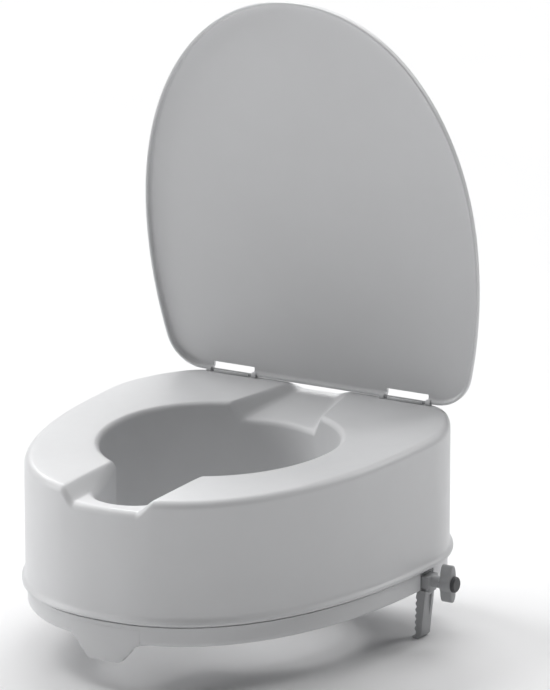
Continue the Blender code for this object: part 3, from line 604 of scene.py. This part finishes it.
# Height above the seam and share of the flare, down the wall's rolled foot
FLARE_CURVE = [
    (0.0002, 0.62),
    (0.0005, 0.86),
    (0.0010, 0.97),
    (0.0018, 1.0),
    (0.0028, 0.96),
    (0.0037, 0.82),
    (0.0046, 0.56),
    (0.0055, 0.31),
    (0.0066, 0.13),
    (0.0082, 0.04),
    (0.0105, 0.0),
]


def build_seat_shell():
    rings = []
    for rise, share in FLARE_CURVE:
        rings.append(level_ring(BODY, BODY_OUT, FLARE * share, GROOVE_Z + rise))
    for step in range(SHOULDER_STEPS + 1):
        angle = math.pi / 2 * step / SHOULDER_STEPS
        plan = BODY - BODY_OUT * SHOULDER_RADIUS * (1 - math.cos(angle))
        rings.append(draped_ring(plan, SHOULDER_RADIUS * (1 - math.sin(angle))))
    shoulder = BODY - BODY_OUT * SHOULDER_RADIUS
    inner = OPENING + OPENING_OUT * LIP_RADIUS
    for step in range(1, TOP_STEPS):
        rings.append(draped_ring(shoulder + (inner - shoulder) * step / TOP_STEPS, 0.0))
    for step in range(LIP_STEPS, -1, -1):
        angle = math.pi / 2 * step / LIP_STEPS
        plan = OPENING + OPENING_OUT * LIP_RADIUS * (1 - math.cos(angle))
        rings.append(draped_ring(plan, LIP_RADIUS * (1 - math.sin(angle))))
    for part in (0.25, 0.5, 0.75, 1.0):
        height = GROOVE_Z + SKIRT_START + (SKIRT_Z - GROOVE_Z - SKIRT_START) * part
        rings.append(level_ring(OPENING, OPENING_OUT, -SKIRT_DRAFT * part, height))
    shell = half_skin("seat_shell_fine", rings, WHITE)
    finish_skin(shell, SHELL_WALL)
    cutters = []
    reach = KNUCKLE_LENGTH + TROUGH_REACH
    for side in (-1, 1):
        low_x, high_x = side * (CLIP_X[0] - CLIP_GAP), side * (CLIP_X[1] + CLIP_GAP)
        low = (low_x, HINGE.y - CLIP_SLOT_HALF, HINGE.z + CLIP_SLOT_Z[0])
        high = (high_x, HINGE.y + CLIP_SLOT_HALF, HINGE.z + CLIP_SLOT_Z[1])
        start = (side * (SLOT_X[0] - reach), HINGE.y, HINGE.z)
        end = (side * (SLOT_X[1] + reach), HINGE.y, HINGE.z)
        cutters += [block(low, high), rod(start, end, TROUGH_RADIUS)]
    combine(shell, "DIFFERENCE", cutters)
    shade(shell)
    return place_piece(shell, "seat", "white_plastic", "seat_shell")


def tongue_half(drop):
    """Half the tongue's width at a drop below the ring's foot: flared into the ring, then tapering."""
    taper = TAB_TOP_HALF + (TAB_FOOT_HALF - TAB_TOP_HALF) * max(drop, 0.0) / TAB_DEPTH
    if drop <= 0:
        return taper + TAB_FILLET
    return taper + TAB_FILLET * max(0.0, 1 - drop / TAB_FILLET) ** 2


def front_tongue():
    """Tongue under the front of the base ring: a curved plate, flush with the ring's outer face."""
    bm = bmesh.new()
    columns, levels = 60, 22
    face, back = [], []
    above = TAB_TOP_Z - BASE_Z
    for rows, y_inset in ((face, BAND_INSET - TAB_PROUD), (back, BAND_INSET + TAB_THICKNESS)):
        for level in range(levels + 1):
            drop = (TAB_DEPTH + above) * level / levels - above
            half = tongue_half(drop)
            row = []
            for i in range(columns + 1):
                x = (2 * i / columns - 1) * half
                ahead = (1 - (abs(x) / HALF_WIDTH) ** FRONT_POWER) ** (1 / FRONT_POWER)
                front = WIDEST_Y + (FRONT_Y - WIDEST_Y) * ahead
                past = min(1.0, max(0.0, (abs(x) - half) / TAB_ROUND + 1))
                rounding = TAB_ROUND * (1 - math.sqrt(1 - past * past))
                share = max(0.0, drop / TAB_DEPTH) ** 3
                row.append(bm.verts.new((x, front + y_inset, BASE_Z - drop + rounding * share)))
            rows.append(row)
    loop_rows = face + back[::-1]
    for upper, lower in zip(loop_rows, loop_rows[1:] + loop_rows[:1]):
        for i in range(columns):
            bm.faces.new((upper[i], upper[i + 1], lower[i + 1], lower[i]))
    for end in (0, columns):
        for level in range(levels):
            high, low = loop_rows[level][end], loop_rows[level + 1][end]
            far_high, far_low = back[level][end], back[level + 1][end]
            bm.faces.new((high, low, far_low, far_high))
    return bm


def build_base_ring():
    inner = SHELL_WALL + RING_GAP
    ledge = -SHELL_WALL - LEDGE_GAP
    rings = [
        level_ring(OPENING, OPENING_OUT, inner, GROOVE_Z - RING_LIP[0]),
        level_ring(OPENING, OPENING_OUT, inner, BASE_Z + RING_LIP[1]),
    ]
    for step in range(RING_FILLET_STEPS + 1):
        angle = math.pi / 2 * step / RING_FILLET_STEPS
        edge = inner + RING_FILLET * (1 - math.cos(angle))
        height = BASE_Z + RING_FILLET * (1 - math.sin(angle))
        rings.append(level_ring(OPENING, OPENING_OUT, edge, height))
    inside = OPENING + OPENING_OUT * (inner + RING_FILLET)
    outside = BODY - BODY_OUT * (BAND_INSET + RING_CORNER)
    for part in (0.25, 0.5, 0.75):
        rings.append([(x, y, BASE_Z) for x, y in inside + (outside - inside) * part])
    for step in range(RING_CORNER_STEPS + 1):
        angle = math.pi / 2 * step / RING_CORNER_STEPS
        inset = BAND_INSET + RING_CORNER * (1 - math.sin(angle))
        rings.append(level_ring(BODY, BODY_OUT, -inset, BASE_Z + RING_CORNER * (1 - math.cos(angle))))
    rings += [
        level_ring(BODY, BODY_OUT, -BAND_INSET, GROOVE_Z - LEDGE_DROPS[0]),
        level_ring(BODY, BODY_OUT, ledge, GROOVE_Z - LEDGE_DROPS[1]),
        level_ring(BODY, BODY_OUT, ledge, GROOVE_Z + LEDGE_RISE),
    ]
    ring = half_skin("base_ring_fine", rings, WHITE)
    finish_skin(ring, RING_WALL)
    tongue = mesh_object("front_tongue_blank", front_tongue(), WHITE)
    soften(tongue, TAB_EDGE)
    rounded = bmesh.new()
    rounded.from_mesh(tongue.data)
    bpy.data.objects.remove(tongue)
    combine(ring, "UNION", [rounded])
    cutters = []
    foot, head = BASE_Z - CUT_MARGIN, BASE_Z + CUT_MARGIN
    for side in (-1, 1):
        low = (side * WINDOW_INNER, CLAMP_Y - WINDOW_HALF, foot)
        high = (side * WINDOW_OUTER, CLAMP_Y + WINDOW_HALF, GROOVE_Z - WINDOW_HEAD)
        cutters.append(block(low, high))
        for x, y in BASE_SCREWS:
            hole = ((side * x, y, foot), (side * x, y, head))
            cutters.append(rod(*hole, BASE_HOLE_RADIUS, 24))
        for step in (-1, 1):
            y = CLAMP_Y + step * GUIDE_SCREW_STEP
            hole = ((side * GUIDE_SCREW_X, y, foot), (side * GUIDE_SCREW_X, y, head))
            cutters.append(rod(*hole, GUIDE_HOLE_RADIUS, 20))
    combine(ring, "DIFFERENCE", cutters)
    shade(ring, 35.0)
    return place_piece(ring, "seat", "white_plastic", "base_ring")


# ---------------------------------------------------------------- lid


def lid_section():
    """Inset from the outline and height of the lid's section, from the inner face to the crown."""
    inner_face = LID_TOP - LID_WALL
    points = []
    for step in range(LID_FILLET_STEPS + 1):
        angle = math.pi / 2 * step / LID_FILLET_STEPS
        inset = LID_WALL + LID_FILLET * (1 - math.sin(angle))
        points.append((inset, inner_face - LID_FILLET * (1 - math.cos(angle))))
    for step in range(LID_RIM_STEPS + 1):
        angle = math.pi * step / LID_RIM_STEPS
        across = LID_WALL / 2 + LID_WALL / 2 * math.cos(angle)
        points.append((across, -LID_UNDER + LID_RIM_ROUND * (1 - math.sin(angle))))
    for step in range(LID_EDGE_STEPS + 1):
        angle = math.pi / 2 * step / LID_EDGE_STEPS
        inset = LID_EDGE_RADIUS * (1 - math.cos(angle))
        points.append((inset, LID_TOP - LID_EDGE_RADIUS * (1 - math.sin(angle))))
    return points


def build_lid():
    outline = d_half_outline(
        LID_HALF, -LID_LENGTH, LID_REAR, -LID_WIDEST, LID_TAPER, LID_CORNER, LID_POWER
    )
    plan = station_points(outline, *LID_KEYS, LID_STATIONS)
    out = outward(plan)
    centre = np.array([0.0, LID_CENTRE_Y])

    def ring(points, height):
        return [(x, HINGE.y + y, HINGE.z + height) for x, y in points]

    section = lid_section()
    first_inset, inner_height = section[0]
    inner_edge, outer_edge = plan - out * first_inset, plan - out * LID_EDGE_RADIUS
    rings = []
    for part in np.linspace(LID_MIDDLE, 1.0, LID_RINGS)[:-1]:
        dish = LID_CROWN * (1 - part**2)
        rings.append(ring(centre + (inner_edge - centre) * part, inner_height + dish))
    rings += [ring(plan - out * inset, height) for inset, height in section]
    for part in np.linspace(1.0, LID_MIDDLE, LID_RINGS)[1:]:
        crown = LID_CROWN * (1 - part**2)
        rings.append(ring(centre + (outer_edge - centre) * part, LID_TOP + crown))
    middle_y = HINGE.y + LID_CENTRE_Y
    tip = (0.0, middle_y, HINGE.z + LID_TOP + LID_CROWN)
    foot = (0.0, middle_y, HINGE.z + inner_height + LID_CROWN)
    lid = half_skin("lid_fine", rings, LID_WHITE, tip, foot)
    finish_skin(lid)
    knuckles, cutters = [], []
    for side in (-1, 1):
        for end in (SLOT_X[0] - KNUCKLE_LENGTH, SLOT_X[1]):
            start = (side * end, HINGE.y, HINGE.z)
            stop = (side * (end + KNUCKLE_LENGTH), HINGE.y, HINGE.z)
            knuckles.append(rod(start, stop, KNUCKLE_RADIUS, 40))
        low = (side * SLOT_X[0], HINGE.y + SLOT_CUT_REAR, HINGE.z + SLOT_CUT_Z[0])
        high = (side * SLOT_X[1], HINGE.y - SLOT_HEIGHT, HINGE.z + SLOT_CUT_Z[1])
        reach = KNUCKLE_LENGTH + PIN_HOLE_REACH
        start = (side * (SLOT_X[0] - reach), HINGE.y, HINGE.z)
        stop = (side * (SLOT_X[1] + reach), HINGE.y, HINGE.z)
        cutters += [block(low, high), rod(start, stop, PIN_HOLE_RADIUS, 24)]
    combine(lid, "UNION", knuckles)
    combine(lid, "DIFFERENCE", cutters)
    turn = Matrix.Rotation(LID_LEAN - math.pi / 2, 4, "X")
    about_axis = Matrix.Translation(HINGE) @ turn @ Matrix.Translation(-HINGE)
    lid.data.transform(about_axis)
    shade(lid)
    return place_piece(lid, "lid", "lid_plastic", "lid")


# ---------------------------------------------------------------- clamps


def clamp_block(side, x, y, z):
    """Box from ranges: x outboard, y about the clamp's middle and z about the screw's axis."""
    low = (side * x[0], CLAMP_Y + y[0], SCREW_Z + z[0])
    high = (side * x[1], CLAMP_Y + y[1], SCREW_Z + z[1])
    return block(low, high)


def clamp_rod(side, x, radius, segments=48):
    return rod((side * x[0], CLAMP_Y, SCREW_Z), (side * x[1], CLAMP_Y, SCREW_Z), radius, segments)


def jaw_outline(side):
    """Side view of the hanging jaw: teeth towards the bowl, a hooked foot, a plain outer face."""
    top, foot = JAW_TOP, -SCREW_Z
    inner_top, outer_top = JAW_X
    inner_foot, outer_foot = inner_top - JAW_LEAN[0], outer_top - JAW_LEAN[1]
    slope = JAW_LEAN[0] / (top - foot)
    hook = inner_foot - HOOK_REACH
    points = [
        (outer_top, top),
        (outer_foot, foot + JAW_CHAMFER),
        (outer_foot - JAW_CHAMFER, foot),
        (hook, foot),
        (hook - HOOK_LEAN, foot + HOOK_TIP),
        (inner_foot, foot + HOOK_TOP),
    ]
    for i in range(TEETH):
        low = foot + FIRST_TOOTH + i * TOOTH_PITCH
        for part, out in ((0.0, 0.0), (0.4, TOOTH_DEPTH), (0.6, TOOTH_DEPTH)):
            z = low + part * TOOTH_PITCH
            points.append((inner_top - slope * (top - z) - out, z))
    points.append((inner_top, top))
    return [(side * x, SCREW_Z + z) for x, z in points]


def build_arm(side, name):
    blank = prism(jaw_outline(side), 1, CLAMP_Y - JAW_HALF, CLAMP_Y + JAW_HALF)
    arm = mesh_object(f"clamp_arm_{name}_fine", blank, GREY)
    stem_x = (JAW_X[0] + STEM_INSET, HEAD_X[1])
    pieces = [
        clamp_block(side, HEAD_X, (-HEAD_HALF, HEAD_HALF), HEAD_Z),
        clamp_block(side, stem_x, (-STEM_HALF, STEM_HALF), STEM_Z),
        clamp_rod(side, (HEAD_X[1] - JOIN, NECK_END), NECK_RADIUS, 40),
    ]
    for edge in (-1, 1):
        across = (edge * PRONG_INNER_HALF, edge * HEAD_HALF)
        pieces.append(clamp_block(side, (PRONG_END, HEAD_X[0] + JOIN), across, HEAD_Z))
    combine(arm, "UNION", pieces)
    panel = prism(
        [
            (CLAMP_Y - PANEL_HALF[0], SCREW_Z + PANEL_TOP),
            (CLAMP_Y + PANEL_HALF[0], SCREW_Z + PANEL_TOP),
            (CLAMP_Y + PANEL_HALF[1], SCREW_Z + PANEL_FOOT),
            (CLAMP_Y - PANEL_HALF[1], SCREW_Z + PANEL_FOOT),
        ],
        0,
        side * (JAW_X[1] - PANEL_DEPTH),
        side * (JAW_X[1] + PANEL_PAST),
    )
    combine(arm, "DIFFERENCE", [panel, clamp_rod(side, ARM_BORE_X, SCREW_HOLE_RADIUS)])
    soften(arm, ARM_EDGE, 2, 40.0)
    return place_piece(arm, f"arm_{name}", "grey_plastic", f"clamp_arm_{name}")


def build_knob(side, name):
    """Wing knob with rolled edges, one wing up and one down."""
    outline = []
    for i in range(KNOB_POINTS):
        angle = 2 * math.pi * i / KNOB_POINTS
        swell = (0.5 + 0.5 * math.cos(2 * angle)) ** KNOB_NARROWING
        radius = KNOB_WAIST + (KNOB_RADIUS - KNOB_WAIST) * swell
        outline.append((CLAMP_Y + radius * math.sin(angle), SCREW_Z + radius * math.cos(angle)))
    body = prism(outline, 0, side * KNOB_X[0], side * KNOB_X[1])
    knob = mesh_object(f"clamp_knob_{name}_fine", body, GREY)
    soften(knob, KNOB_EDGE, 4, 50.0)
    bore_x = [KNOB_X[0] + reach for reach in KNOB_BORE]
    bore = clamp_rod(side, bore_x, SCREW_HOLE_RADIUS)
    combine(knob, "DIFFERENCE", [bore])
    shade(knob, 40.0)
    return place_piece(knob, f"knob_{name}", "grey_plastic", f"clamp_knob_{name}")


# ---------------------------------------------------------------- carried-over pieces


def shading_group():
    """Geometry nodes that shade a mesh smooth, apart from its edges sharper than an angle."""
    group = bpy.data.node_groups.new("shade_by_angle", "GeometryNodeTree")
    group.interface.new_socket("Geometry", in_out="INPUT", socket_type="NodeSocketGeometry")
    group.interface.new_socket("Geometry", in_out="OUTPUT", socket_type="NodeSocketGeometry")
    source = group.nodes.new("NodeGroupInput")
    result = group.nodes.new("NodeGroupOutput")
    faces = group.nodes.new("GeometryNodeSetShadeSmooth")
    edges = group.nodes.new("GeometryNodeSetShadeSmooth")
    edges.domain = "EDGE"
    angle = group.nodes.new("GeometryNodeInputMeshEdgeAngle")
    compare = group.nodes.new("FunctionNodeCompare")
    compare.data_type = "FLOAT"
    compare.operation = "LESS_THAN"
    compare.inputs["B"].default_value = math.radians(40)
    group.links.new(source.outputs[0], faces.inputs["Geometry"])
    group.links.new(faces.outputs[0], edges.inputs["Geometry"])
    group.links.new(angle.outputs["Unsigned Angle"], compare.inputs["A"])
    group.links.new(compare.outputs["Result"], edges.inputs["Shade Smooth"])
    group.links.new(edges.outputs[0], result.inputs[0])
    return group


# Eased edges of the kept pieces, by the start of their names
ROUNDING = {"clamp_guide": 0.0004, "clamp_nut": 0.0003, "hinge_clip": 0.0002, "rim_pad": 0.0006}


def dress_cad_nodes():
    """Gives the kept CAD pieces their materials, welded faces, eased edges and smooth shading."""
    slots = {part["node"]: part["material_slot"] for part in frame["record"]["subparts"]}
    group = shading_group()
    for name, obj in sorted(frame["nodes"].items()):
        if obj.hide_render:
            continue
        obj.data.materials.clear()
        obj.data.materials.append(LOOKS[slots[name]])
        weld = obj.modifiers.new("Weld", "WELD")
        weld.merge_threshold = MERGE
        for start, width in ROUNDING.items():
            if name.startswith(start):
                bevel = obj.modifiers.new("Eased edges", "BEVEL")
                bevel.width = width
                bevel.segments = 2
                bevel.limit_method = "ANGLE"
                bevel.angle_limit = math.radians(40)
        shading = obj.modifiers.new("Shading", "NODES")
        shading.node_group = group


# ---------------------------------------------------------------- studio


def build_floor():
    material, tree, shader = node_material("studio_floor")
    mottle = add_noise(tree, 3.0, 3.0)
    tree.links.new(
        add_ramp(tree, mottle, (0.815, 0.815, 0.82, 1), (0.83, 0.83, 0.835, 1)),
        shader.inputs["Base Color"],
    )
    shader.inputs["Roughness"].default_value = 0.6
    shader.inputs["Specular IOR Level"].default_value = 0.2
    bm = bmesh.new()
    bmesh.ops.create_grid(bm, x_segments=2, y_segments=2, size=FLOOR_HALF)
    floor = mesh_object("studio_floor", bm, material)
    floor.location.z = CAD_BOX[0].z - FLOOR_GAP


def add_sun(name, direction, spread, strength):
    """Soft even light from one direction; its spread in degrees sets how soft the shadows are."""
    data = bpy.data.lights.new(name, "SUN")
    data.energy, data.angle = strength, math.radians(spread)
    lamp = bpy.data.objects.new(name, data)
    lamp.location = direction
    lamp.rotation_euler = (-Vector(direction)).to_track_quat("-Z", "Y").to_euler()
    bpy.context.scene.collection.objects.link(lamp)


# Direction it comes from, spread in degrees and strength
LIGHTS = {
    "left_front": ((-2.8, -0.8, 1.2), 22, 0.9),
    "left_high": ((-2.0, 0.1, 2.35), 24, 1.0),
    "rear_left": ((-1.8, 1.9, 1.75), 24, 0.8),
    "back_high": ((-0.4, 2.4, 2.45), 34, 1.2),
    "rear_right": ((1.5, 2.2, 1.85), 24, 0.7),
    "overhead": ((0.0, -0.2, 2.9), 50, 0.9),
    "front_fill": ((-0.6, -3.0, 1.3), 40, 0.15),
}


def build_studio():
    build_floor()
    for name, (direction, spread, strength) in LIGHTS.items():
        add_sun(name, direction, spread, strength)
    world = bpy.data.worlds.new("studio")
    bpy.context.scene.world = world
    world.use_nodes = True
    background = world.node_tree.nodes["Background"]
    background.inputs["Color"].default_value = (1.0, 1.0, 1.0, 1.0)
    background.inputs["Strength"].default_value = 1.0
    # A pale backdrop that adds no light of its own
    world.cycles_visibility.diffuse = False
    world.cycles_visibility.glossy = False
    bpy.context.scene.view_settings.view_transform = "Standard"


def build_camera():
    data = bpy.data.cameras.new("camera")
    data.lens, data.sensor_width = CAMERA_LENS, CAMERA_SENSOR
    data.clip_start, data.clip_end = 0.1, 200.0
    camera = bpy.data.objects.new("camera", data)
    sin_a, cos_a = math.sin(CAMERA_AZIMUTH), math.cos(CAMERA_AZIMUTH)
    sin_e, cos_e = math.sin(CAMERA_ELEVATION), math.cos(CAMERA_ELEVATION)
    back = Vector((sin_a * cos_e, -cos_a * cos_e, sin_e))
    right = Vector((cos_a, sin_a, 0.0))
    up = back.cross(right)
    spot = CAMERA_TARGET + back * CAMERA_DISTANCE + right * CAMERA_ACROSS + up * CAMERA_RISE
    turn = Matrix((right, up, back)).transposed().to_4x4()
    camera.matrix_world = Matrix.Translation(spot) @ turn
    bpy.context.scene.collection.objects.link(camera)
    bpy.context.scene.camera = camera


build_seat_shell()
build_base_ring()
build_lid()
for side, name in ((1, "left"), (-1, "right")):
    build_arm(side, name)
    build_knob(side, name)
dress_cad_nodes()
build_studio()
build_camera()
